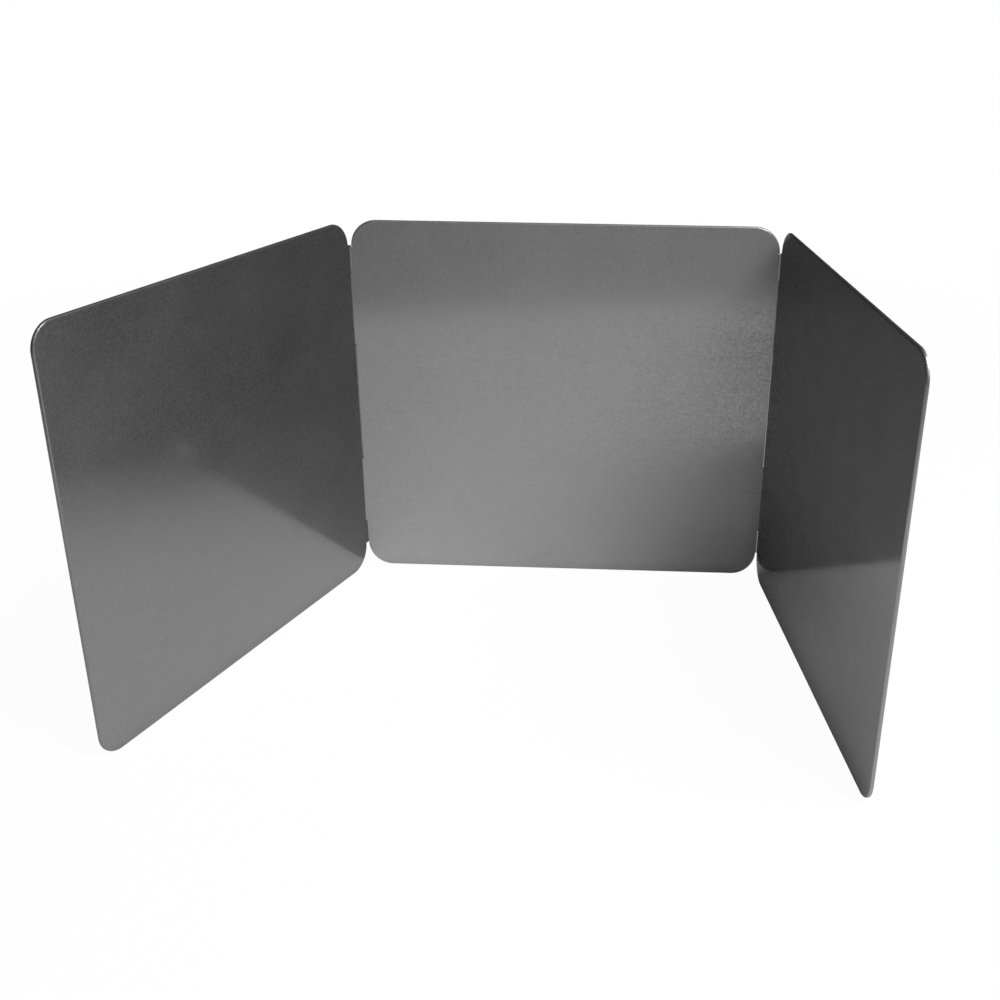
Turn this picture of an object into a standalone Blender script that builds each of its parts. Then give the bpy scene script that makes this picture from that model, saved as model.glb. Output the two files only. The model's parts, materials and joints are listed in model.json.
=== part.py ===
"""Three-panel splash guard: rimmed sheet-metal panels joined by two pinned hinges.

Metres, +Z up. The origin is the middle of the flat strip under the centre panel's
bottom rim, and the guard opens towards -Y, where the cook stands. Each panel is one
pressed sheet: its rim is rolled back and its hinge knuckles are curled from its edge.
"""
from math import acos, cos, pi, radians, sin, sqrt

import bmesh
import bpy

# Panels
PANEL_HEIGHT = 0.2286
CENTRE_PANEL_WIDTH = 0.2552
SIDE_PANEL_WIDTH = 0.2446
SHEET_THICKNESS = 0.0005
HINGE_CORNER_RADIUS = 0.0155
FREE_CORNER_RADIUS = 0.0135

# Rolled rim: a bend, then a short flat lip that points backwards
RIM_FLAT = 0.0006
LIP_CLEARANCE = 0.0002

# Hinges: five knuckles on each, three of the side panel and two of the centre panel
BARREL_RADIUS = 0.0018
END_KNUCKLE_LENGTH = 0.0161
INNER_KNUCKLE_LENGTH = 0.0444
KNUCKLE_GAP = 0.0003
CURL_GAP = 0.00035
NOTCH_CLEARANCE = 0.00075
EDGE_STEP = 0.0001
RELIEF_CUT = 0.0003

# Hinge pins
PIN_CLEARANCE = 0.0001
PIN_RECESS = 0.0015
PIN_CHAMFER = 0.0002

# Pose in the photograph: how far each side panel is turned in from straight
LEFT_TURN = radians(67.6)
RIGHT_TURN = radians(82.57)

# Smoothness
CORNER_STEPS = 14
BEND_STEPS = 4
CURL_STEPS = 22
PIN_SIDES = 24

# Sizes that follow from the ones above
RIM_DEPTH = BARREL_RADIUS - LIP_CLEARANCE
RIM_BEND = RIM_DEPTH - RIM_FLAT
BORE_RADIUS = BARREL_RADIUS - SHEET_THICKNESS
PIN_RADIUS = BORE_RADIUS - PIN_CLEARANCE
NOTCH_SETBACK = sqrt(BARREL_RADIUS ** 2 - BORE_RADIUS ** 2) + NOTCH_CLEARANCE
EDGE_SETBACK = NOTCH_SETBACK + EDGE_STEP
HINGE_SPACING = CENTRE_PANEL_WIDTH + 2 * EDGE_SETBACK
BARREL_BOTTOM = HINGE_CORNER_RADIUS + RELIEF_CUT
BARREL_TOP = PANEL_HEIGHT - BARREL_BOTTOM
CURL_ANGLE = 2 * pi - acos((BORE_RADIUS - CURL_GAP) / BARREL_RADIUS)
HINGE_Y = LIP_CLEARANCE + RIM_FLAT / 2
FRONT = -BARREL_RADIUS

SIDE_KNUCKLES = (0, 2, 4)
CENTRE_KNUCKLES = (1, 3)


def clear_scene():
    """Removes whatever the scene held before."""
    for thing in list(bpy.data.objects):
        bpy.data.objects.remove(thing, do_unlink=True)


def metal(name, colour, roughness):
    """A bare metal finish."""
    material = bpy.data.materials.new(name)
    material.use_nodes = True
    shader = material.node_tree.nodes["Principled BSDF"]
    shader.inputs["Base Color"].default_value = (*colour, 1.0)
    shader.inputs["Roughness"].default_value = roughness
    shader.inputs["Metallic"].default_value = 1.0
    return material


def knuckle_bands():
    """Heights of the five knuckles from the bottom up, each as (low, high)."""
    first = BARREL_BOTTOM + END_KNUCKLE_LENGTH
    last = BARREL_TOP - END_KNUCKLE_LENGTH
    inner = (first + INNER_KNUCKLE_LENGTH, last - INNER_KNUCKLE_LENGTH)
    marks = (BARREL_BOTTOM, first, *inner, last, BARREL_TOP)
    half_gap = KNUCKLE_GAP / 2
    bands = []
    for low, high in zip(marks, marks[1:]):
        low_trim = 0.0 if low == BARREL_BOTTOM else half_gap
        high_trim = 0.0 if high == BARREL_TOP else half_gap
        bands.append((low + low_trim, high - high_trim))
    return bands


class Free:
    """An end of a panel with no hinge: a straight edge with rounded corners."""

    hinged = False
    radius = FREE_CORNER_RADIUS

    def __init__(self, edge, side):
        self.edge = edge
        self.side = side


class Hinged:
    """An end of a panel that is curled into knuckles around a pin."""

    hinged = True
    radius = HINGE_CORNER_RADIUS

    def __init__(self, axis, side, owned):
        self.axis = axis
        self.side = side
        self.owned = owned
        self.edge = axis - side * EDGE_SETBACK

    def outline(self):
        """Front-face points up the hinge, and the point pairs that carry a knuckle."""
        inside = self.edge - self.side * RIM_BEND
        notch = self.axis - self.side * NOTCH_SETBACK
        points = [(inside, BARREL_BOTTOM)]
        knuckles = []
        for number, (low, high) in enumerate(knuckle_bands()):
            if number in self.owned:
                points.append((self.axis, low))
                points.append((self.axis, high))
                knuckles.append((low, high))
            else:
                band_low = BARREL_BOTTOM if number == 0 else low - KNUCKLE_GAP
                band_high = BARREL_TOP if number == 4 else high + KNUCKLE_GAP
                points.append((notch, band_low))
                points.append((notch, band_high))
        points.append((inside, BARREL_TOP))
        return points, knuckles


def corner(centre_x, centre_z, radius, start):
    """Rim points around a quarter circle: (x, z) on the edge and the way outward."""
    points = []
    for step in range(CORNER_STEPS + 1):
        angle = start + step * (pi / 2) / CORNER_STEPS
        out = (cos(angle), sin(angle))
        points.append((centre_x + radius * out[0], centre_z + radius * out[1], *out))
    return points


def top_run(low_end, high_end):
    """Rim points over the top, from the high-x end to the low-x end."""
    points = []
    if high_end.hinged:
        points.append((high_end.edge, BARREL_TOP + RELIEF_CUT, 1.0, 0.0))
    right, left = high_end.radius, low_end.radius
    points += corner(high_end.edge - right, PANEL_HEIGHT - right, right, 0.0)
    points += corner(low_end.edge + left, PANEL_HEIGHT - left, left, pi / 2)
    if low_end.hinged:
        points.append((low_end.edge, BARREL_TOP + RELIEF_CUT, -1.0, 0.0))
    return points


def bottom_run(low_end, high_end):
    """Rim points along the bottom, from the low-x end to the high-x end."""
    points = []
    if low_end.hinged:
        points.append((low_end.edge, BARREL_BOTTOM - RELIEF_CUT, -1.0, 0.0))
    right, left = high_end.radius, low_end.radius
    points += corner(low_end.edge + left, left, left, pi)
    points += corner(high_end.edge - right, right, right, 1.5 * pi)
    if high_end.hinged:
        points.append((high_end.edge, BARREL_BOTTOM - RELIEF_CUT, 1.0, 0.0))
    return points


def without_repeats(points):
    """Drops each point that lies where the one before it does."""
    kept = []
    for point in points:
        if not kept or abs(point[0] - kept[-1][0]) + abs(point[1] - kept[-1][1]) > 1e-7:
            kept.append(point)
    return kept


def add_rim(mesh, run):
    """Rolls the rim back along a run of edge points and returns its front-face vertices."""
    section = []
    for step in range(BEND_STEPS + 1):
        angle = step * (pi / 2) / BEND_STEPS
        section.append((RIM_BEND * (1 - sin(angle)), FRONT + RIM_BEND * (1 - cos(angle))))
    section.append((0.0, FRONT + RIM_DEPTH))
    columns = []
    for x, z, out_x, out_z in run:
        column = [mesh.verts.new((x - out_x * inset, y, z - out_z * inset)) for inset, y in section]
        columns.append(column)
    for here, there in zip(columns, columns[1:]):
        for level in range(len(section) - 1):
            mesh.faces.new((there[level], here[level], here[level + 1], there[level + 1]))
    return [column[0] for column in columns]


def add_hinge(mesh, end):
    """Adds the hinge edge's front-face vertices and curls its knuckles back around the pin."""
    points, knuckles = end.outline()
    verts = []
    for x, z in without_repeats(points):
        verts.append(mesh.verts.new((x, FRONT, z)))
    for low, high in knuckles:
        pair = [v for v in verts if abs(v.co.x - end.axis) < 1e-7 and abs(v.co.z - low) < 1e-7]
        pair += [v for v in verts if abs(v.co.x - end.axis) < 1e-7 and abs(v.co.z - high) < 1e-7]
        bottom, top = pair
        for step in range(1, CURL_STEPS + 1):
            angle = step * CURL_ANGLE / CURL_STEPS
            x = end.axis + end.side * BARREL_RADIUS * sin(angle)
            y = -BARREL_RADIUS * cos(angle)
            next_bottom = mesh.verts.new((x, y, low))
            next_top = mesh.verts.new((x, y, high))
            face = (top, bottom, next_bottom, next_top)
            mesh.faces.new(face if end.side > 0 else face[::-1])
            bottom, top = next_bottom, next_top
    return verts if end.side > 0 else verts[::-1]


def add_panel(name, low_end, high_end, material, parent=None):
    """Models a panel's outer skin and gives it the sheet's thickness behind that skin."""
    mesh = bmesh.new()
    if low_end.hinged and high_end.hinged:
        border = add_rim(mesh, without_repeats(top_run(low_end, high_end)))
        border += add_hinge(mesh, low_end)
        border += add_rim(mesh, without_repeats(bottom_run(low_end, high_end)))
        border += add_hinge(mesh, high_end)
    elif high_end.hinged:
        run = top_run(low_end, high_end) + bottom_run(low_end, high_end)
        border = add_rim(mesh, without_repeats(run))
        border += add_hinge(mesh, high_end)
    else:
        run = bottom_run(low_end, high_end) + top_run(low_end, high_end)
        border = add_rim(mesh, without_repeats(run))
        border += add_hinge(mesh, low_end)
    mesh.faces.new(border)
    data = bpy.data.meshes.new(name)
    mesh.to_mesh(data)
    mesh.free()
    data.shade_smooth()
    data.set_sharp_from_angle(angle=radians(35))
    data.materials.append(material)
    panel = bpy.data.objects.new(name, data)
    bpy.context.scene.collection.objects.link(panel)
    panel.parent = parent
    sheet = panel.modifiers.new("Sheet thickness", "SOLIDIFY")
    sheet.thickness = SHEET_THICKNESS
    sheet.offset = -1.0
    sheet.use_even_offset = True
    sheet.use_quality_normals = True
    return panel


def add_pin(name, material, parent):
    """Turns a hinge pin that ends a little inside both ends of its barrel."""
    mesh = bmesh.new()
    length = BARREL_TOP - BARREL_BOTTOM - 2 * PIN_RECESS
    bmesh.ops.create_cone(mesh, cap_ends=True, segments=PIN_SIDES,
                          radius1=PIN_RADIUS, radius2=PIN_RADIUS, depth=length)
    ends = [edge for edge in mesh.edges if abs(edge.verts[0].co.z - edge.verts[1].co.z) < length / 2]
    bmesh.ops.bevel(mesh, geom=ends, offset=PIN_CHAMFER, segments=1, affect="EDGES")
    data = bpy.data.meshes.new(name)
    mesh.to_mesh(data)
    mesh.free()
    data.shade_smooth()
    data.set_sharp_from_angle(angle=radians(35))
    data.materials.append(material)
    pin = bpy.data.objects.new(name, data)
    bpy.context.scene.collection.objects.link(pin)
    pin.parent = parent
    pin.location.z = PANEL_HEIGHT / 2
    return pin


def add_hinge_axis(name, x, turn):
    """An empty on a hinge's axis that carries what turns about it."""
    axis = bpy.data.objects.new(name, None)
    bpy.context.scene.collection.objects.link(axis)
    axis.location = (x, HINGE_Y, 0.0)
    axis.rotation_euler.z = turn
    return axis


def main():
    clear_scene()
    half = HINGE_SPACING / 2
    reach = EDGE_SETBACK + SIDE_PANEL_WIDTH

    centre_end_low = Hinged(-half, -1, CENTRE_KNUCKLES)
    centre_end_high = Hinged(half, 1, CENTRE_KNUCKLES)
    centre_steel = metal("Centre panel steel", (0.23, 0.23, 0.23), 0.22)
    centre = add_panel("centre_panel", centre_end_low, centre_end_high, centre_steel)
    centre.location.y = HINGE_Y

    left_axis = add_hinge_axis("left_hinge_axis", -half, LEFT_TURN)
    left_steel = metal("Left panel steel", (0.21, 0.21, 0.21), 0.2)
    add_panel("left_panel", Free(-reach, -1), Hinged(0.0, 1, SIDE_KNUCKLES), left_steel, left_axis)
    add_pin("left_hinge_pin", metal("Left pin steel", (0.35, 0.35, 0.34), 0.3), left_axis)

    right_axis = add_hinge_axis("right_hinge_axis", half, -RIGHT_TURN)
    right_steel = metal("Right panel steel", (0.19, 0.19, 0.19), 0.18)
    add_panel("right_panel", Hinged(0.0, -1, SIDE_KNUCKLES), Free(reach, 1), right_steel, right_axis)
    add_pin("right_hinge_pin", metal("Right pin steel", (0.35, 0.35, 0.34), 0.3), right_axis)


main()
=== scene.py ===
# %% [markdown]
# # Folding splash guard
# Three panels of dark satin sheet steel stand around a camp stove and keep the fat off the
# table. Two pinned hinges join them, so they also fold flat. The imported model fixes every
# size, place and joint. This lesson models the same sheets more finely around it, gives
# them a metal finish and lights them as a plain studio would.

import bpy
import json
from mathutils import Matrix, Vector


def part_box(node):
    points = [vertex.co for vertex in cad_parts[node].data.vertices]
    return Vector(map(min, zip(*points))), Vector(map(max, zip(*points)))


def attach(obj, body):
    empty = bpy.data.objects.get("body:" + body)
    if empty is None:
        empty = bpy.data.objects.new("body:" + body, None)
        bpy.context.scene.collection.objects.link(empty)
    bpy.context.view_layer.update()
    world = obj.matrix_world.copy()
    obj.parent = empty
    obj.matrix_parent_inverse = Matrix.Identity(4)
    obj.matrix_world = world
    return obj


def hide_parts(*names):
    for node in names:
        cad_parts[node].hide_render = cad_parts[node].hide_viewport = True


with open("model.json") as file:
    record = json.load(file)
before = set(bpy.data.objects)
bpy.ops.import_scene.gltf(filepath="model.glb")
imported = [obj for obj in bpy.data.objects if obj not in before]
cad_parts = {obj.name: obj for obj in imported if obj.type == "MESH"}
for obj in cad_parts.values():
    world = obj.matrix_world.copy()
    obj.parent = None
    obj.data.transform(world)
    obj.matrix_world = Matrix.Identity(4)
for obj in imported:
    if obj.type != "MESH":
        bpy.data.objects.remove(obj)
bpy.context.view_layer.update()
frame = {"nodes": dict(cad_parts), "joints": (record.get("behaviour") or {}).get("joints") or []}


print("nodes:", sorted(frame["nodes"]))

# %% [markdown]
# ## Sizes from the frame
# What can be measured on the frame is measured there, so that a change of the model moves
# the looks with it. The hinge axes come from the joints. Each hinge stops when its side
# panel stands square to the centre panel, so its turn in the photograph is the rest of that
# right angle. The reach of a side panel is measured on its node, turned back straight.

# %% Read the axes, the turns and the panel sizes
import json
from math import acos, cos, degrees, pi, radians, sin, sqrt

import bmesh
import bpy
from mathutils import Matrix, Vector

SQUARE = 90

joints = {joint["name"]: joint for joint in frame["joints"]}
left_axis = Vector(joints["left_hinge"]["pos_m"])
right_axis = Vector(joints["right_hinge"]["pos_m"])
left_turn = radians(SQUARE - joints["left_hinge"]["range_deg"][1])
right_turn = -radians(SQUARE - joints["right_hinge"]["range_deg"][1])


def reach_from_hinge(node, axis, turn):
    """How far a side panel reaches from its hinge axis."""
    straighten = Matrix.Rotation(-turn, 4, "Z") @ Matrix.Translation(-axis)
    return max(abs((straighten @ vertex.co).x) for vertex in frame["nodes"][node].data.vertices)


side_reach = reach_from_hinge("left_panel", left_axis, left_turn)
panel_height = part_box("centre_panel")[1].z
barrel_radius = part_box("centre_panel")[1].y - left_axis.y
print("side reach, height and barrel radius in mm:",
      [round(1000 * size, 2) for size in (side_reach, panel_height, barrel_radius)])

# %% Sheet and hinge sizes
SHEET = 0.0005
HINGE_CORNER = 0.0155
RELIEF_HEIGHT = 0.0003
NOTCH_CLEARANCE = 0.00075
EDGE_STEP = 0.0001

front = -barrel_radius
bore_radius = barrel_radius - SHEET
notch_setback = sqrt(barrel_radius ** 2 - bore_radius ** 2) + NOTCH_CLEARANCE
edge_setback = notch_setback + EDGE_STEP
barrel_bottom = HINGE_CORNER + RELIEF_HEIGHT
barrel_top = panel_height - barrel_bottom
print("a panel's edge stops", round(1000 * edge_setback, 2), "mm before its hinge axis")

# %% Knuckle heights
END_KNUCKLE = 0.0161
INNER_KNUCKLE = 0.0444
KNUCKLE_GAP = 0.0003


def knuckle_bands():
    """Heights of the five knuckles of a hinge from the bottom up, each as (low, high)."""
    lengths = (END_KNUCKLE, INNER_KNUCKLE, None, INNER_KNUCKLE, END_KNUCKLE)
    spare = barrel_top - barrel_bottom - 2 * (END_KNUCKLE + INNER_KNUCKLE)
    bands = []
    start = barrel_bottom
    for number, length in enumerate(lengths):
        end = start + (spare if length is None else length)
        low = start + (KNUCKLE_GAP / 2 if number > 0 else 0)
        high = end - (KNUCKLE_GAP / 2 if number < len(lengths) - 1 else 0)
        bands.append((low, high))
        start = end
    return bands


bands = knuckle_bands()
side_bands = bands[0::2]
centre_bands = bands[1::2]
print("knuckles in mm:", [(round(1000 * low, 2), round(1000 * high, 2)) for low, high in bands])

# %% [markdown]
# ## Working by hand, in code
# In edit mode a modeller picks edges with the mouse. A script picks them by where they are.
# One helper deselects everything, then selects what passes a test, and the operators act on
# that selection as they would for a hand at the mouse.

# %% Select by a test
def pick(kind, test):
    """Selects the vertices, edges or faces of the edited mesh that pass a test."""
    bpy.ops.mesh.select_mode(type=kind)
    bpy.ops.mesh.select_all(action="DESELECT")
    data = bpy.context.edit_object.data
    mesh = bmesh.from_edit_mesh(data)
    parts = {"VERT": mesh.verts, "EDGE": mesh.edges, "FACE": mesh.faces}[kind]
    for part in parts:
        if test(part):
            part.select = True
    mesh.select_flush_mode()
    bmesh.update_edit_mesh(data)


# %% Tests of place, and a straight cut
NEAR = 1e-6


def near(a, b):
    """Whether two lengths are the same."""
    return abs(a - b) < NEAR


def spans(part, axis):
    """The lowest and highest place of an edge's or a face's corners along X, Y or Z."""
    places = [vertex.co["XYZ".index(axis)] for vertex in part.verts]
    return min(places), max(places)


def lies_at(part, axis, place):
    """Whether all corners of an edge or a face lie at one place along an axis."""
    low, high = spans(part, axis)
    return near(low, place) and near(high, place)


def cut(axis, place):
    """Bisects what is selected with a plane square to an axis."""
    normal = Vector([letter == axis for letter in "XYZ"])
    bpy.ops.mesh.bisect(plane_co=normal * place, plane_no=normal, threshold=NEAR)


# %% [markdown]
# ## A panel's front skin
# On the real guard each panel is one sheet: blanked with round corners, its edge rolled back
# into a rim and its hinge side curled into knuckles. It could be drawn as a curve and filled,
# but a plane that is shaped step by step follows the press tools: cut the outline, curl the
# tongues, fold the rim. The skin is the sheet's outer face, and its thickness comes last.

# %% Blank the plate
CORNER_SEGMENTS = 20


def blank_plate(name, low_x, high_x):
    """A standing plate that faces the cook, from a plane at its size and place."""
    if bpy.context.object and bpy.context.object.mode != "OBJECT":
        bpy.ops.object.mode_set(mode="OBJECT")
    bpy.ops.object.select_all(action="DESELECT")
    middle = ((low_x + high_x) / 2, front, panel_height / 2)
    bpy.ops.mesh.primitive_plane_add(size=1, location=middle, rotation=(pi / 2, 0, 0))
    plate = bpy.context.object
    plate.name = name
    plate.data.name = name
    plate.scale = (high_x - low_x, panel_height, 1)
    bpy.ops.object.transform_apply(location=True, rotation=True, scale=True)
    return plate


def round_corners(x, radius):
    """Rounds the top and bottom corner of a plate's end."""
    pick("VERT", lambda vertex: near(vertex.co.x, x))
    bpy.ops.mesh.bevel(affect="VERTICES", offset=radius, segments=CORNER_SEGMENTS)


# %% [markdown]
# ## Knuckles from the sheet itself
# Five knuckles sit around each pin: three are curled from the side panel and two from the
# centre panel. They could be tubes set against the edge, but on the real guard the sheet runs
# on into them, so tongues are drawn out of the plate's end and spun around the hinge axis.
# Short slots part the hinge from the rim, because a sheet can't bend both ways at one place.

# %% Slots that part the rim from the hinge
RELIEF_DEPTH = 0.00105


def in_bands(part, heights):
    """Whether an edge or a face lies within one of some bands of height."""
    low, high = spans(part, "Z")
    return any(low > start - NEAR and high < end + NEAR for start, end in heights)


def cut_relief(edge_x, side):
    """Cuts the slots that part the rim from the hinge, below and above the barrel."""
    for low, high in ((HINGE_CORNER, barrel_bottom), (barrel_top, panel_height - HINGE_CORNER)):
        strip = [(low, high)]
        pick("FACE", lambda face: in_bands(face, strip))
        cut("X", edge_x - side * RELIEF_DEPTH)
        pick("FACE", lambda face: in_bands(face, strip)
             and min(abs(place - edge_x) for place in spans(face, "X")) < NEAR)
        bpy.ops.mesh.delete(type="FACE")


# %% Tongues and their curl
CURL_GAP = 0.00035
CURL_SEGMENTS = 32

curl_angle = 2 * pi - acos((bore_radius - CURL_GAP) / barrel_radius)
print("a tongue curls through", round(degrees(curl_angle)), "degrees")


def draw_out(x, heights, length):
    """Extrudes the plate's end, within some bands of height, further along X."""
    pick("EDGE", lambda edge: edge.is_boundary and lies_at(edge, "X", x) and in_bands(edge, heights))
    bpy.ops.mesh.extrude_edges_move(TRANSFORM_OT_translate={"value": (length, 0, 0)})


def shape_hinge(axis_x, side, heights):
    """Draws tongues out of the plate's end and curls them back around the hinge axis."""
    edge_x = axis_x - side * edge_setback
    cuts = [HINGE_CORNER, barrel_bottom, barrel_top, panel_height - HINGE_CORNER]
    cuts += [place for band in heights for place in band]
    for place in sorted(set(round(place, 7) for place in cuts)):
        pick("FACE", lambda face: True)
        cut("Z", place)
    cut_relief(edge_x, side)
    draw_out(edge_x, [(barrel_bottom, barrel_top)], side * EDGE_STEP)
    draw_out(edge_x + side * EDGE_STEP, heights, side * notch_setback)
    pick("EDGE", lambda edge: edge.is_boundary and lies_at(edge, "X", axis_x))
    # Blender's spin turns against the sign of its angle.
    bpy.ops.mesh.spin(steps=CURL_SEGMENTS, angle=-side * curl_angle,
                      center=(axis_x, 0, 0), axis=(0, 0, 1))


# %% [markdown]
# ## The rolled rim
# The rim keeps the thin sheet stiff and hides its sharp edge. A bevel on a thick plate would
# round the edge and leave no depth behind it. So the outline is extruded backwards and the
# fold is bevelled into a bend, as a folding tool does. The rim stops short of the hinge axis,
# so that it doesn't meet the next panel's rim when the guard is folded.

# %% Roll the rim
LIP_CLEARANCE = 0.0002
RIM_BEND = 0.0010
BEND_SEGMENTS = 6
LEAST_FOLD = radians(45)

rim_depth = barrel_radius - LIP_CLEARANCE
print("rim depth in mm:", round(1000 * rim_depth, 2))


def on_outline(edge, free_x):
    """Whether an edge belongs to the plate's top, bottom, corners or free end."""
    if not edge.is_boundary or not lies_at(edge, "Y", front):
        return False
    low, high = spans(edge, "Z")
    below = high < HINGE_CORNER + NEAR and not near(low, HINGE_CORNER)
    above = low > panel_height - HINGE_CORNER - NEAR and not near(high, panel_height - HINGE_CORNER)
    return below or above or (free_x is not None and lies_at(edge, "X", free_x))


def roll_rim(free_x=None):
    """Folds the plate's outline back and rounds the fold."""
    pick("EDGE", lambda edge: on_outline(edge, free_x))
    bpy.ops.mesh.extrude_edges_move(TRANSFORM_OT_translate={"value": (0, rim_depth, 0)})
    pick("EDGE", lambda edge: lies_at(edge, "Y", front) and edge.calc_face_angle(0) > LEAST_FOLD)
    bpy.ops.mesh.bevel(affect="EDGES", offset=RIM_BEND, segments=BEND_SEGMENTS, clamp_overlap=False)


# %% [markdown]
# ## A face that can bend
# A real sheet gives a little everywhere, but one large face has no points to move.
# Subdividing would cut the corners and knuckles finer too, so a grid of straight cuts goes
# through the whole skin instead. Then the skin is merged and turned the right way out.

# %% Divide the face and close the skin
GRID = 0.009


def divide_face(low_x, high_x):
    """Cuts an even grid through the skin, so that the sheet can be bent a little."""
    for axis, low, high in (("X", low_x, high_x), ("Z", 0, panel_height)):
        count = round((high - low) / GRID)
        for number in range(1, count):
            bpy.ops.mesh.select_all(action="SELECT")
            cut(axis, low + (high - low) * number / count)


def close_skin():
    """Merges doubles and turns the faces of an open skin outwards, its front to the cook."""
    bpy.ops.mesh.select_all(action="SELECT")
    bpy.ops.mesh.remove_doubles(threshold=NEAR)
    bpy.ops.mesh.normals_make_consistent(inside=False)
    mesh = bmesh.from_edit_mesh(bpy.context.edit_object.data)
    widest = max(mesh.faces, key=lambda face: face.calc_area())
    if widest.normal.y > 0:
        bpy.ops.mesh.flip_normals()


# %% [markdown]
# ## Two forms of panel
# The centre panel has a hinge at both ends, a side panel at one. One function could make
# both with a few switches, but two short ones read like the steps on a bench: blank, corners,
# hinges, rim, grid.

# %% Model the centre panel and the left one
FREE_CORNER = 0.0135


def model_side_skin(name):
    """The skin of the left side panel, straight, with its hinge axis on Z."""
    plate = blank_plate(name, -side_reach, -edge_setback)
    bpy.ops.object.mode_set(mode="EDIT")
    round_corners(-side_reach, FREE_CORNER)
    round_corners(-edge_setback, HINGE_CORNER)
    shape_hinge(0.0, 1, side_bands)
    roll_rim(-side_reach)
    divide_face(-side_reach, 0.0)
    close_skin()
    bpy.ops.object.mode_set(mode="OBJECT")
    return plate


def model_centre_skin(name, half_spacing):
    """The skin of the centre panel, with hinge axes on both sides."""
    half_width = half_spacing - edge_setback
    plate = blank_plate(name, -half_width, half_width)
    bpy.ops.object.mode_set(mode="EDIT")
    round_corners(-half_width, HINGE_CORNER)
    round_corners(half_width, HINGE_CORNER)
    shape_hinge(-half_spacing, -1, centre_bands)
    shape_hinge(half_spacing, 1, centre_bands)
    roll_rim()
    divide_face(-half_width, half_width)
    close_skin()
    bpy.ops.object.mode_set(mode="OBJECT")
    return plate


centre = model_centre_skin("centre_sheet", right_axis.x)
left = model_side_skin("left_sheet")
for piece in (centre, left):
    print(piece.name, len(piece.data.vertices), "vertices")

# %% [markdown]
# ## The right panel
# The right panel is the left one mirrored. It could be modelled again with the signs turned,
# but one form that is copied stays the same form when a size changes. The copy gets its own
# mesh. Mirroring turns its faces inside out, so they are turned back at once.

# %% Mirror the side panel
def alone(piece):
    """Makes a piece the only selected object and the active one."""
    bpy.ops.object.select_all(action="DESELECT")
    piece.select_set(True)
    bpy.context.view_layer.objects.active = piece


def copy_of(piece, name):
    """A copy of a piece with its own mesh."""
    alone(piece)
    bpy.ops.object.duplicate(linked=False)
    double = bpy.context.object
    double.name = name
    double.data.name = name
    return double


right = copy_of(left, "right_sheet")
right.scale.x = -1
bpy.ops.object.transform_apply(location=True, rotation=True, scale=True)
bpy.ops.object.mode_set(mode="EDIT")
close_skin()
bpy.ops.object.mode_set(mode="OBJECT")
print("mirrored:", right.name, [round(1000 * size, 1) for size in right.dimensions])

# %% [markdown]
# ## Sheet that isn't quite flat
# Half a millimetre of steel never lies flat over a quarter of a metre. The eye sees it where
# an edge is mirrored: the line wanders a little. A bump in the material could fake that, but
# real waves also show in profile and in other light. A few spots are pushed in or out by
# hundredths of a millimetre with proportional editing, as thumbs and shipping do.

# %% Push one spot in or out
WAVE_REACH = 0.055


def push_spot(piece, x, z, depth):
    """Moves the face's nearest vertex along Y, and with it all that lies within reach."""
    alone(piece)
    bpy.ops.object.mode_set(mode="EDIT")
    bpy.ops.mesh.select_mode(type="VERT")
    bpy.ops.mesh.select_all(action="DESELECT")
    mesh = bmesh.from_edit_mesh(piece.data)
    face_points = [vertex for vertex in mesh.verts if abs(vertex.co.y - front) < SHEET / 2]
    nearest = min(face_points, key=lambda vertex: (vertex.co.x - x) ** 2 + (vertex.co.z - z) ** 2)
    nearest.select = True
    bpy.ops.transform.translate(value=(0, depth, 0), use_proportional_edit=True,
                                proportional_edit_falloff="SMOOTH", proportional_size=WAVE_REACH)
    bpy.ops.object.mode_set(mode="OBJECT")


# %% Push a few spots on each panel
WAVE_DEPTH = 0.00004
WAVE_COLUMNS = 4
WAVE_ROWS = 3
SPOT_STRAY = 0.2
SPOT_STEP = 2.4
DEPTH_STEP = 2.1


def push_spots(piece, low_x, high_x, phase):
    """Pushes spots on a loose grid, some in and some out, by unlike amounts."""
    for column in range(WAVE_COLUMNS):
        for row in range(WAVE_ROWS):
            turn = SPOT_STEP * (row + WAVE_ROWS * column) + phase
            x = low_x + (high_x - low_x) * (column + 0.5 + SPOT_STRAY * cos(turn)) / WAVE_COLUMNS
            z = panel_height * (row + 0.5 + SPOT_STRAY * sin(turn)) / WAVE_ROWS
            push_spot(piece, x, z, WAVE_DEPTH * sin(DEPTH_STEP * turn))


push_spots(centre, -right_axis.x + WAVE_REACH, right_axis.x - WAVE_REACH, 0.3)
push_spots(left, -side_reach, -WAVE_REACH, 1.1)
push_spots(right, WAVE_REACH, side_reach, 2.6)
for piece in (centre, left, right):
    depths = [1e6 * (vertex.co.y - front) for vertex in piece.data.vertices]
    depths = [round(depth) for depth in depths if abs(depth) < 2e6 * WAVE_DEPTH]
    print(piece.name, "waves from", min(depths), "to", max(depths), "micrometres")

# %% [markdown]
# ## The sheet's thickness
# The skins get the half millimetre of the real sheet behind them. Solidify does that evenly
# along bends, as rolling does. Sheared edges are never sharp, so a fine bevel breaks them and
# catches the light. Weighted normals keep the wide faces flat beside the tight bends, where
# plain smooth shading would smear the bend across the face.

# %% Thicken, break the edges and shade
EDGE_BREAK = 0.00009
EDGE_BREAK_SEGMENTS = 2
SHARPEST_SMOOTH = radians(50)
WIDEST_FACE_ONLY = 100


def apply_modifier(piece, kind, **settings):
    """Adds a modifier to a piece, sets it and applies it."""
    alone(piece)
    bpy.ops.object.modifier_add(type=kind)
    modifier = piece.modifiers[-1]
    for setting, value in settings.items():
        setattr(modifier, setting, value)
    bpy.ops.object.modifier_apply(modifier=modifier.name)


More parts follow.
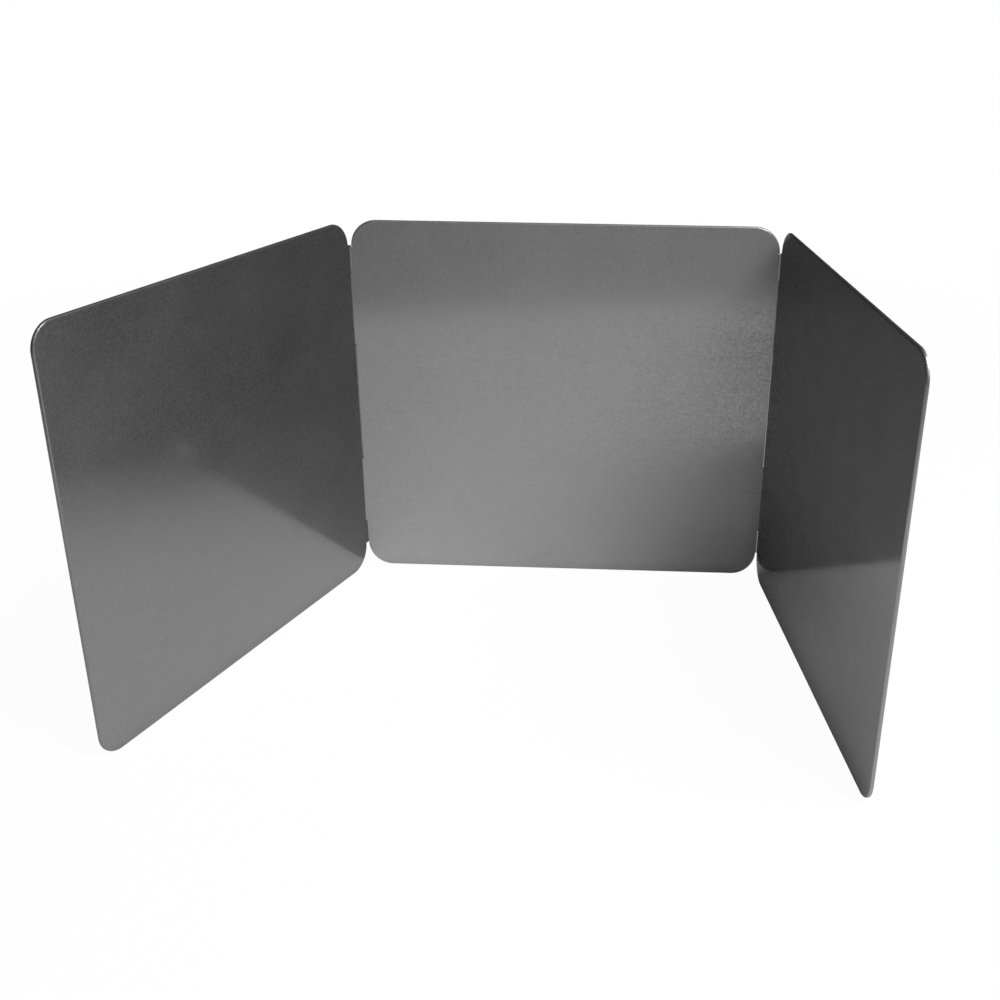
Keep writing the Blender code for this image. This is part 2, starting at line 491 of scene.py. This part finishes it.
def make_sheet(piece):
    """Gives a skin the sheet's thickness, broken edges and smooth shading."""
    apply_modifier(piece, "SOLIDIFY", thickness=SHEET, offset=-1, use_even_offset=True,
                   use_quality_normals=True)
    apply_modifier(piece, "BEVEL", width=EDGE_BREAK, segments=EDGE_BREAK_SEGMENTS, limit_method="ANGLE",
                   angle_limit=SHARPEST_SMOOTH, use_clamp_overlap=True)
    bpy.ops.object.shade_smooth_by_angle(angle=SHARPEST_SMOOTH)
    apply_modifier(piece, "WEIGHTED_NORMAL", weight=WIDEST_FACE_ONLY, keep_sharp=True)


for piece in (centre, left, right):
    make_sheet(piece)
    print(piece.name, len(piece.data.polygons), "faces")

# %% [markdown]
# ## Each panel to its hinge
# The panels were modelled straight, with their hinge axis on Z. Each is turned about that
# axis and moved onto the frame's own axis. The turn and the move are then applied, so that
# the place is in the mesh and the object stays at the origin, as the frame's pieces do.

# %% Turn and place the panels
def put_in_place(piece, axis, turn):
    """Turns a piece about its hinge and moves it there, with the place left in its mesh."""
    alone(piece)
    piece.location = (axis[0], axis[1], 0)
    piece.rotation_euler.z = turn
    bpy.ops.object.transform_apply(location=True, rotation=True, scale=True)


centre_axis = Vector((0, left_axis.y, 0))
put_in_place(centre, centre_axis, 0)
put_in_place(left, left_axis, left_turn)
put_in_place(right, right_axis, right_turn)
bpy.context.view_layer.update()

# %% [markdown]
# ## Hinge pins
# A hard wire pin holds each hinge together. It ends a little inside the barrel, so only its
# two ends show, from above and below. The wire is cropped and its ends are rounded so that
# they enter the bores. A cylinder primitive is chamfered for that, and the small dimple that
# the cropping tool leaves is inset and sunk into each end. The second pin is a copy.

# %% Model one pin
PIN_CLEARANCE = 0.0001
PIN_CHAMFER = 0.00025
CHAMFER_SEGMENTS = 3
PIN_SIDES = 32
DIMPLE_RIM = 0.0004
DIMPLE_DEPTH = 0.00012
FACES_UP = 0.9
PIN_SHARPEST_SMOOTH = radians(30)

pin_low, pin_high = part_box("left_hinge_pin")
pin_radius = bore_radius - PIN_CLEARANCE


def is_end(face):
    """Whether a face is one of the pin's two round ends."""
    return abs(face.normal.z) > FACES_UP and len(face.verts) == PIN_SIDES


def model_pin(name):
    """A pin on the Z axis, its ends rounded and dimpled."""
    bpy.ops.object.select_all(action="DESELECT")
    bpy.ops.mesh.primitive_cylinder_add(vertices=PIN_SIDES, radius=pin_radius,
                                        depth=pin_high.z - pin_low.z,
                                        location=(0, 0, (pin_low.z + pin_high.z) / 2))
    pin = bpy.context.object
    pin.name = name
    pin.data.name = name
    bpy.ops.object.transform_apply(location=True, rotation=True, scale=True)
    bpy.ops.object.mode_set(mode="EDIT")
    pick("FACE", is_end)
    bpy.ops.mesh.bevel(affect="EDGES", offset=PIN_CHAMFER, segments=CHAMFER_SEGMENTS)
    for end in (1, -1):
        pick("FACE", lambda face: is_end(face) and face.normal.z * end > 0)
        bpy.ops.mesh.inset(thickness=DIMPLE_RIM, depth=0)
        bpy.ops.mesh.inset(thickness=DIMPLE_RIM / 2, depth=-DIMPLE_DEPTH)
    bpy.ops.object.mode_set(mode="OBJECT")
    bpy.ops.object.shade_smooth_by_angle(angle=PIN_SHARPEST_SMOOTH)
    return pin


# %% Put a pin in each hinge
left_pin = model_pin("left_pin")
right_pin = copy_of(left_pin, "right_pin")
put_in_place(left_pin, left_axis, left_turn)
put_in_place(right_pin, right_axis, right_turn)
print("pin length in mm:", round(1000 * left_pin.dimensions.z, 1))
print("pin diameter in mm:", round(2000 * pin_radius, 2))

# %% [markdown]
# ## Shader maths as expressions
# A material is a net of nodes, and maths in it takes many of them. They could be added and
# linked one at a time, but then the thought behind them is hard to read. The class Wire
# stands for a node's output: Python's operators on it add the Math nodes. The class Nodes
# adds any other node in one call: its type, its settings, then its sockets' values or links.

# %% Wrap sockets and nodes
class Wire:
    """A node's output. Python's operators on it add Math nodes."""

    def __init__(self, nodes, socket):
        self.nodes = nodes
        self.socket = socket

    def output(self, name):
        """Another output of the same node."""
        return Wire(self.nodes, self.socket.node.outputs[name])

    def maths(self, operation, *values):
        """A Math node."""
        return self.nodes.add("ShaderNodeMath", {"operation": operation}, dict(enumerate(values)))

    def __add__(self, other):
        return self.maths("ADD", self, other)

    def __radd__(self, other):
        return self.maths("ADD", other, self)

    def __sub__(self, other):
        return self.maths("SUBTRACT", self, other)

    def __rsub__(self, other):
        return self.maths("SUBTRACT", other, self)

    def __mul__(self, other):
        return self.maths("MULTIPLY", self, other)

    def __rmul__(self, other):
        return self.maths("MULTIPLY", other, self)


class Nodes:
    """A node tree that is built node by node."""

    def __init__(self, tree):
        self.tree = tree
        tree.nodes.clear()

    def add(self, kind, settings=None, inputs=None, output=0):
        """Adds a node, makes its settings, sets or links its sockets and returns one output."""
        node = self.tree.nodes.new(kind)
        for setting, value in (settings or {}).items():
            setattr(node, setting, value)
        for name, value in (inputs or {}).items():
            if isinstance(value, Wire):
                self.tree.links.new(value.socket, node.inputs[name])
            else:
                node.inputs[name].default_value = value
        return Wire(self, node.outputs[output]) if node.outputs else None


def new_material(name):
    """A material and the builder of its nodes."""
    material = bpy.data.materials.new(name)
    material.use_nodes = True
    return material, Nodes(material.node_tree)


# %% Helpers for patterns
# The Mix node has sockets of every kind under the same names, so its colours go by number.
MIX_FIRST = 6
MIX_SECOND = 7
MIX_RESULT = 2


def stretched(nodes, vector, factors):
    """A vector with each of its parts multiplied."""
    return nodes.add("ShaderNodeVectorMath", {"operation": "MULTIPLY"}, {0: vector, 1: factors})


def noise(nodes, vector, scale, detail):
    """Smooth noise around zero."""
    values = {"Vector": vector, "Scale": scale, "Detail": detail}
    return nodes.add("ShaderNodeTexNoise", {}, values) - 0.5


def ramp(nodes, value, low, high):
    """0 below one value, 1 above another, smooth between."""
    return nodes.add("ShaderNodeMapRange", {"interpolation_type": "SMOOTHSTEP"},
                     {"Value": value, "From Min": low, "From Max": high})


def blend_colours(nodes, factor, first, second):
    """A mix of two colours."""
    return nodes.add("ShaderNodeMix", {"data_type": "RGBA"},
                     {"Factor": factor, MIX_FIRST: (*first, 1), MIX_SECOND: (*second, 1)}, MIX_RESULT)


# %% [markdown]
# ## Where on the panel
# The rolling marks run along each panel, so the finish has to know which way a panel lies.
# UV maps could carry that, but Object coordinates do it too: a Mapping node of type Texture
# takes the hinge's place and turn away again, and leaves the distance along the panel in X
# and the height in Z.

# %% Panel coordinates
def panel_space(nodes, axis, turn):
    """Object coordinates in a panel's own frame: along it, through it and up it."""
    position = nodes.add("ShaderNodeTexCoord", output="Object")
    return nodes.add("ShaderNodeMapping", {"vector_type": "TEXTURE"},
                     {"Vector": position, "Location": (axis[0], axis[1], 0), "Rotation": (0, 0, turn)})


def another_sheet(nodes, space, number):
    """The same coordinates a metre further on for each number, so that no two panels match."""
    return nodes.add("ShaderNodeVectorMath", {"operation": "ADD"}, {0: space, 1: (number,) * 3})


# %% [markdown]
# ## Satin steel
# The sheet is cold-rolled steel with a dark satin finish. Close up it shows an even speckle
# about a millimetre across, faint lines along the rolling direction, soft clouds where it was
# wiped, and a few short scuffs and specks. It mirrors what stands near it, but through a
# haze: one part of the light is thrown back almost as a mirror does, and another is spread
# wide. One rough surface can't do both, so two Principled shaders are mixed, a narrow lobe
# and a wide one. The speckle lies mostly in that mix, which is why it shows best where the
# mirror image is dark. Scuffs and specks are low places in the bump and dark in the colour.
# In the sums below, each plain number says how strongly a pattern counts.

# %% Scuffs
SCUFF_STRETCH = (70, 1, 1500)
SCUFF_LINE = (0.2, 0.28)
SCUFF_PATCHES = 30
SCUFF_PATCH = (0.1, 0.18)


def scuffs_on(nodes, sheet):
    """Short thin lines along the panel, in a few patches."""
    lines = ramp(nodes, noise(nodes, stretched(nodes, sheet, SCUFF_STRETCH), 1, 0), *SCUFF_LINE)
    patches = ramp(nodes, noise(nodes, sheet, SCUFF_PATCHES, 1), *SCUFF_PATCH)
    return lines * patches


# %% Specks
SPECK_SCALE = 130
SPECK_RADIUS = 0.055
MARKED_CELLS = (0.9, 0.91)


def specks_on(nodes, sheet):
    """Small round marks in a few cells of a pattern."""
    cells = {"Vector": sheet, "Scale": SPECK_SCALE}
    distance = nodes.add("ShaderNodeTexVoronoi", {}, cells, "Distance")
    chance = nodes.add("ShaderNodeSeparateColor", {}, {"Color": distance.output("Color")}, "Red")
    marked = ramp(nodes, chance, *MARKED_CELLS)
    return marked * (1 - ramp(nodes, distance, SPECK_RADIUS / 2, SPECK_RADIUS))


# %% The satin finish
GRAIN_SCALE = 700
ROLLING_STRETCH = (14, 1, 800)
CLOUD_SCALE = 22
TONE_SPREAD = 0.14
EDGE_TINT = (0.6, 0.6, 0.6, 1)
BUMP_DEPTH = 0.000004
CORE_ROUGHNESS = 0.11
HAZE_ROUGHNESS = 0.65
HAZE_FACING = 0.8
HAZE_LOSS = 0.55


def satin_steel(name, axis, turn, steel_and_painted_light_tone, speckle, number):
    """The panels' finish, its pattern turned with the panel, and its tone lighter or darker as painted
    light.
    """
    material, nodes = new_material(name)
    sheet = another_sheet(nodes, panel_space(nodes, axis, turn), number)
    grain = speckle * noise(nodes, sheet, GRAIN_SCALE, 1)
    rolling = speckle * noise(nodes, stretched(nodes, sheet, ROLLING_STRETCH), 1, 2)
    clouds = noise(nodes, sheet, CLOUD_SCALE, 3)
    scuffs = scuffs_on(nodes, sheet)
    specks = specks_on(nodes, sheet)

    light = 0.5 + 0.5 * grain + 0.35 * rolling + 0.5 * clouds - 0.5 * scuffs - 0.6 * specks
    darkest = (1 - TONE_SPREAD) * steel_and_painted_light_tone
    lightest = (1 + TONE_SPREAD) * steel_and_painted_light_tone
    colour = blend_colours(nodes, light, (darkest,) * 3, (lightest,) * 3)
    bump = nodes.add("ShaderNodeBump", {}, {
        "Strength": 1, "Distance": BUMP_DEPTH, "Height": grain + 0.5 * rolling - scuffs - specks})
    marks = 0.15 * rolling + 0.1 * clouds + 0.2 * scuffs + 0.2 * specks
    lobes = []
    for roughness in (CORE_ROUGHNESS, HAZE_ROUGHNESS):
        lobes.append(nodes.add("ShaderNodeBsdfPrincipled", {}, {
            "Base Color": colour, "Metallic": 1, "Roughness": roughness + roughness * marks,
            "Specular Tint": EDGE_TINT, "Normal": bump}))
    grazing = nodes.add("ShaderNodeLayerWeight", {}, {"Blend": 0.5}, "Facing")
    share = HAZE_FACING - HAZE_LOSS * grazing + 0.9 * grain + 0.25 * rolling + 0.2 * clouds
    shader = nodes.add("ShaderNodeMixShader", {}, {"Fac": share, 1: lobes[0], 2: lobes[1]})
    nodes.add("ShaderNodeOutputMaterial", {}, {"Surface": shader})
    return material


# %% One finish for each panel, its tone painted lighter or darker for the light on it
# The panels are one steel. Their tones differ only as painted light: the centre is painted lighter, the
# left darker and the right between, for how light falls on each.
CENTRE_STEEL_AND_PAINTED_LIGHT = 0.29
LEFT_STEEL_AND_PAINTED_LIGHT = 0.2
RIGHT_STEEL_AND_PAINTED_LIGHT = 0.245
CENTRE_SPECKLE = 0.5
LEFT_SPECKLE = 0.45
RIGHT_SPECKLE = 0.15

centre_finish_and_painted_light = satin_steel("Centre satin steel with painted light", centre_axis, 0, CENTRE_STEEL_AND_PAINTED_LIGHT, CENTRE_SPECKLE, 1)
left_finish_and_painted_light = satin_steel("Left satin steel with painted light", left_axis, left_turn, LEFT_STEEL_AND_PAINTED_LIGHT, LEFT_SPECKLE, 2)
right_finish_and_painted_light = satin_steel("Right satin steel with painted light", right_axis, right_turn, RIGHT_STEEL_AND_PAINTED_LIGHT, RIGHT_SPECKLE, 3)
print("nodes in a panel's finish:", len(left_finish_and_painted_light.node_tree.nodes))

# %% [markdown]
# ## Drawn wire
# The pins are plain drawn wire, a little lighter than the sheet. Drawing leaves fine lines
# along the wire. They could be cut into the mesh, but they are far too fine, so noise that is
# stretched along Z draws them, and a narrow spread of roughness breaks the long highlight.

# %% The pins' finish
WIRE_STEEL = 0.35
WIRE_SPREAD = 0.2
WIRE_WARMTH = 0.03
WIRE_ROUGHNESS = 0.3
DRAWING_STRETCH = (5000, 5000, 60)
STAIN_SCALE = 400


def drawn_wire(name, axis, turn, number):
    """The hinge pins' finish."""
    material, nodes = new_material(name)
    wire = another_sheet(nodes, panel_space(nodes, axis, turn), number)
    drawn = noise(nodes, stretched(nodes, wire, DRAWING_STRETCH), 1, 2)
    stains = noise(nodes, wire, STAIN_SCALE, 2)
    darkest = (1 - WIRE_SPREAD) * WIRE_STEEL
    lightest = (1 + WIRE_SPREAD) * WIRE_STEEL
    colour = blend_colours(nodes, 0.5 + drawn + 0.8 * stains, (darkest,) * 3,
                           (lightest, lightest, lightest - WIRE_WARMTH * WIRE_STEEL))
    bump = nodes.add("ShaderNodeBump", {}, {"Strength": 1, "Distance": BUMP_DEPTH, "Height": drawn})
    shader = nodes.add("ShaderNodeBsdfPrincipled", {}, {
        "Base Color": colour, "Metallic": 1, "Roughness": WIRE_ROUGHNESS + 0.3 * drawn + 0.3 * stains,
        "Normal": bump})
    nodes.add("ShaderNodeOutputMaterial", {}, {"Surface": shader})
    return material


left_wire = drawn_wire("Left drawn wire", left_axis, left_turn, 4)
right_wire = drawn_wire("Right drawn wire", right_axis, right_turn, 5)
print("nodes in a pin's finish:", len(left_wire.node_tree.nodes))

# %% [markdown]
# ## Pieces onto bodies
# Each piece takes its finish, rides on the body that its node belongs to, and stands in its
# node's place, so that it turns with the hinge.

# %% Dress the guard
def dress(piece, material, body, node):
    """Gives a piece its finish and puts it on its body in its node's place."""
    piece.data.materials.clear()
    piece.data.materials.append(material)
    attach(piece, body)
    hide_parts(node)
    print(piece.name, "rides on", body, "in the place of", node)


dress(centre, centre_finish_and_painted_light, "centre", "centre_panel")
dress(left, left_finish_and_painted_light, "left", "left_panel")
dress(right, right_finish_and_painted_light, "right", "right_panel")
dress(left_pin, left_wire, "left", "left_hinge_pin")
dress(right_pin, right_wire, "right", "right_hinge_pin")

# %% [markdown]
# ## The floor
# The guard stands on white paper that ends a good half metre in front of it. What lies
# beyond is darker, and the steel mirrors that step as the band along the top of the centre
# panel. Seen by the camera, the floor is as white as the backdrop, yet it keeps a trace of
# the guard's shadow. More lamps could bring that white, but they would bleach the steel. So
# the paper is a plain diffuse white, and Light Path's Is Camera Ray mixes in a white glow, as
# does Is Transmission Ray for a view through something clear. The steel mirrors a weaker
# glow, as paper lit from all around would give it; that glow is painted light. Painted shade
# takes it back where a real room's light wouldn't reach: in the inner corner by the right
# hinge, and close under the rims.

# %% Floor plane
FLOOR_SIZE = 40

bpy.ops.object.select_all(action="DESELECT")
bpy.ops.mesh.primitive_plane_add(size=FLOOR_SIZE, location=(0, 0, 0))
floor = bpy.context.object
floor.name = "studio_floor"
print("floor", FLOOR_SIZE, "m wide")

# %% Where the paper lies and where shade is painted on its glow
PAPER_EDGE = -0.65
PAPER_BLUR = 0.05
PAPER_SLANT = 0.2
SHADOW_NEAR = 0.45
SHADOW_FAR = 1.1
PAINTED_CORNER_SHADE = 0.5
CORNER_REACH = 0.13
CONTACT_REACH = 0.012
CONTACT_SAMPLES = 4

paper, nodes = new_material("White paper")
position = nodes.add("ShaderNodeTexCoord", output="Object")
across = nodes.add("ShaderNodeSeparateXYZ", {}, {"Vector": position}, "X")
away = across.output("Y")
on_paper = ramp(nodes, away + PAPER_SLANT * across, PAPER_EDGE - PAPER_BLUR, PAPER_EDGE + PAPER_BLUR)
distance = nodes.add("ShaderNodeVectorMath", {"operation": "LENGTH"}, {0: position}, "Value")
close = 1 - ramp(nodes, distance, SHADOW_NEAR, SHADOW_FAR)
corner = nodes.add("ShaderNodeVectorMath", {"operation": "DISTANCE"},
                   {0: position, 1: (right_axis.x, right_axis.y, 0)}, "Value")
# Painted shade: the glow that the steel mirrors is dimmed near the right hinge's inner corner.
painted_corner_shade = 1 - PAINTED_CORNER_SHADE * (1 - ramp(nodes, corner, 0, CORNER_REACH))
# Painted shade: ambient occlusion dims the mirrored glow close under the rims.
painted_contact_shade = nodes.add("ShaderNodeAmbientOcclusion", {"samples": CONTACT_SAMPLES},
                    {"Distance": CONTACT_REACH}, "AO")
print("paper from", PAPER_EDGE, "m to the back of the floor")

# %% What each ray meets there
PAPER_WHITE = 0.82
FAR_GREY = 0.38
SHADOW_KEPT = 0.03
MIRRORED_GLOW = 0.5
WHITE = (1, 1, 1, 1)

seen = nodes.add("ShaderNodeLightPath", output="Is Camera Ray")
mirrored = seen.output("Is Glossy Ray")
through = seen.output("Is Transmission Ray")
colour = blend_colours(nodes, on_paper, (FAR_GREY,) * 3, (PAPER_WHITE,) * 3)
plain = nodes.add("ShaderNodeBsdfDiffuse", {}, {"Color": colour})
glow = nodes.add("ShaderNodeEmission", {}, {"Color": WHITE, "Strength": MIRRORED_GLOW})
glowing = nodes.add("ShaderNodeAddShader", {}, {0: plain, 1: glow})
in_mirror = nodes.add("ShaderNodeMixShader", {}, {
    "Fac": mirrored * on_paper * painted_corner_shade * painted_contact_shade, 1: plain, 2: glowing})
white = nodes.add("ShaderNodeEmission", {}, {"Color": WHITE, "Strength": 1})
surface = nodes.add("ShaderNodeMixShader", {}, {
    "Fac": (seen + through) * (1 - SHADOW_KEPT * close), 1: in_mirror, 2: white})
nodes.add("ShaderNodeOutputMaterial", {}, {"Surface": surface})
floor.data.materials.append(paper)
print("nodes in the paper:", len(paper.node_tree.nodes))

# %% [markdown]
# ## Lamps
# Plain soft boxes light the guard. The key stands high on the right and a little in front,
# so the right panel shades the floor inside it, and the centre panel mirrors that shade in
# its lower right corner, deepened there by the painted shade on the paper's glow. The fill
# stands lower and further out on the same side, and is weaker.

# %% Soft boxes
KEY_PLACE = (0.75, -0.55, 1.5)
KEY_SIZE = 0.9
KEY_WATTS = 34.5
FILL_PLACE = (1.0, -1.3, 1.3)
FILL_SIZE = 0.9
FILL_WATTS = 8.5
LAMP_AIM = (0, -0.15, 0)


def soft_box(name, place, size, watts):
    """A square soft box that points at the guard's middle."""
    bpy.ops.object.light_add(type="AREA", location=place)
    lamp = bpy.context.object
    lamp.name = name
    lamp.data.size = size
    lamp.data.energy = watts
    lamp.rotation_euler = (Vector(LAMP_AIM) - Vector(place)).to_track_quat("-Z", "Y").to_euler()
    print(name, watts, "W at", place)


soft_box("key_soft_box", KEY_PLACE, KEY_SIZE, KEY_WATTS)
soft_box("fill_soft_box", FILL_PLACE, FILL_SIZE, FILL_WATTS)

# %% [markdown]
# ## The room
# Behind the guard the photograph is plain white, yet the steel mirrors a room that is almost
# dark. White boards around the set could give the backdrop, but the steel would mirror them.
# So the world is mixed from two backgrounds: plain white for what the camera sees, straight
# or through something clear, and a dim grey for every other ray.

# %% World
ROOM_LIGHT = 0.02
BACKDROP = 1.0

world = bpy.data.worlds.new("Studio")
bpy.context.scene.world = world
world.use_nodes = True
nodes = Nodes(world.node_tree)
seen = nodes.add("ShaderNodeLightPath", output="Is Camera Ray")
through = seen.output("Is Transmission Ray")
room = nodes.add("ShaderNodeBackground", {}, {"Color": WHITE, "Strength": ROOM_LIGHT})
backdrop = nodes.add("ShaderNodeBackground", {}, {"Color": WHITE, "Strength": BACKDROP})
around = nodes.add("ShaderNodeMixShader", {}, {"Fac": seen + through, 1: room, 2: backdrop})
nodes.add("ShaderNodeOutputWorld", {}, {"Surface": around})
print("room light", ROOM_LIGHT, "and backdrop", BACKDROP)

# %% [markdown]
# ## The camera
# The camera looks down on the guard from in front. Its place, angles and lens were solved
# from the outline in the photograph, in which one pixel is about half a millimetre, and the
# shift only takes in that the photograph is cropped off centre.

# %% Camera
CAMERA_PLACE = (0.030485, -0.742352, 0.385389)
CAMERA_ANGLES = (65.1664, -0.4193, 2.7958)
CAMERA_LENS = 45.182
CAMERA_SHIFT = (-0.056525, 0.011103)

bpy.ops.object.camera_add(location=CAMERA_PLACE, rotation=[radians(angle) for angle in CAMERA_ANGLES])
camera = bpy.context.object
camera.name = "studio_camera"
camera.data.lens = CAMERA_LENS
camera.data.shift_x, camera.data.shift_y = CAMERA_SHIFT
bpy.context.scene.camera = camera
bpy.context.scene.view_settings.view_transform = "Standard"
print("camera", round((camera.location - centre_axis).length, 3), "m from the guard")
